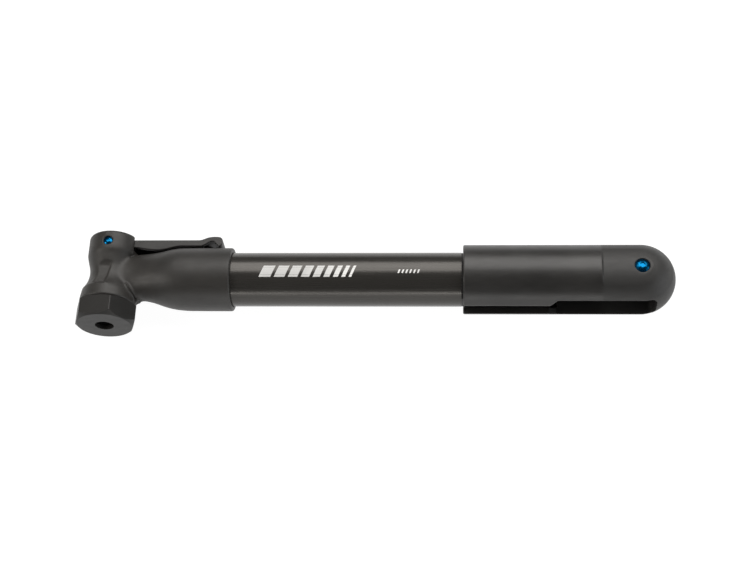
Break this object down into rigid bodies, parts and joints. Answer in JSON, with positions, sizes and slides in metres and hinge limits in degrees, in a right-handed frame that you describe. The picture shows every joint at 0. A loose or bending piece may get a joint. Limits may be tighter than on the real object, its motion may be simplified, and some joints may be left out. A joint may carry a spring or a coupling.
{
  "type": "hand bicycle pump",
  "caption": "Slim hand pump: T-shaped head with hexagonal valve nut and thumb lever, round barrel, and a slotted grip that folds out square on a pivot pin.",
  "frame": {"origin": "centre of the valve hole, on the outer face of the chuck nut", "axes": "-Y is the way out of the valve hole; +X runs along the barrel from the head to the grip's round end; Z is along both pivot pins, and the pump rests on its -Z side"},
  "size_m": [0.2657, 0.0423, 0.0308],
  "materials": {
    "head_moulding": "satin moulded glass-filled nylon, near black",
    "lever_moulding": "satin moulded nylon, near black",
    "nut_moulding": "satin moulded nylon, near black",
    "grip_moulding": "satin moulded nylon, near black",
    "barrel_alloy": "dark satin anodised, drawn along the barrel",
    "rod_alloy": "clear satin anodised",
    "blue_pin": "bright blue anodised",
    "nylon": "black nylon",
    "rubber": "black nitrile rubber",
    "brass": "turned brass",
    "steel": "plated steel"
  },
  "bodies": {
    "head": {"head_body": "head_moulding", "lever_pin": "blue_pin", "chuck_grommet": "rubber", "valve_seat": "brass", "check_spring": "steel", "barrel_tube": "barrel_alloy", "barrel_o_ring": "rubber", "barrel_end_cap": "nylon", "rod_wiper": "rubber", "rod_guide_bush": "nylon"},
    "lever": {"lock_lever": "lever_moulding"},
    "plunger": {"chuck_plunger": "nylon", "plunger_o_ring": "rubber", "valve_depressor": "brass"},
    "nut_carriage": {"slip_washer": "nylon"},
    "nut": {"chuck_nut": "nut_moulding"},
    "poppet": {"check_poppet": "rubber"},
    "rod": {"piston_body": "nylon", "piston_wear_ring": "nylon", "piston_cup_seal": "rubber", "seal_washer": "steel", "piston_screw": "steel", "piston_rod": "rod_alloy", "rod_bumper": "rubber", "rod_end_fitting": "nylon", "eye_bush": "nylon", "rod_roll_pin": "steel"},
    "grip": {"handle_shell": "grip_moulding", "handle_pin": "blue_pin", "handle_pin_screw": "blue_pin", "pivot_washers": "nylon"}
  },
  "joints": [
    {"name": "pump_stroke", "type": "slide", "parent": "head", "child": "rod", "axis": [1, 0, 0], "range_m": [0, 0.096]},
    {"name": "handle_fold", "type": "hinge", "parent": "rod", "child": "grip", "pos_m": [0.2358, 0.0226, 0], "axis": [0, 0, -1], "range_deg": [0, 90]},
    {"name": "lever_turn", "type": "hinge", "parent": "head", "child": "lever", "pos_m": [0, 0.037, 0], "axis": [0, 0, 1], "range_deg": [0, 90]},
    {"name": "plunger_press", "type": "slide", "parent": "head", "child": "plunger", "axis": [0, -1, 0], "range_m": [0, 0.00241], "deforming": ["chuck_grommet"]},
    {"name": "nut_advance", "type": "slide", "parent": "head", "child": "nut_carriage", "axis": [0, -1, 0], "range_m": [0, 0.00401]},
    {"name": "nut_turn", "type": "hinge", "parent": "nut_carriage", "child": "nut", "pos_m": [0, 0, 0], "axis": [0, -1, 0], "range_deg": [0, 1440]},
    {"name": "poppet_lift", "type": "slide", "parent": "head", "child": "poppet", "axis": [-1, 0, 0], "range_m": [0, 0.001], "stiffness_N_per_m": 60, "springref_m": -0.001, "deforming": ["check_spring"]}
  ],
  "couplings": [
    {"joint": "plunger_press", "follows": "lever_turn", "m_per_rad": 0.0015279},
    {"joint": "nut_advance", "follows": "nut_turn", "m_per_rad": 0.00015915}
  ]
}
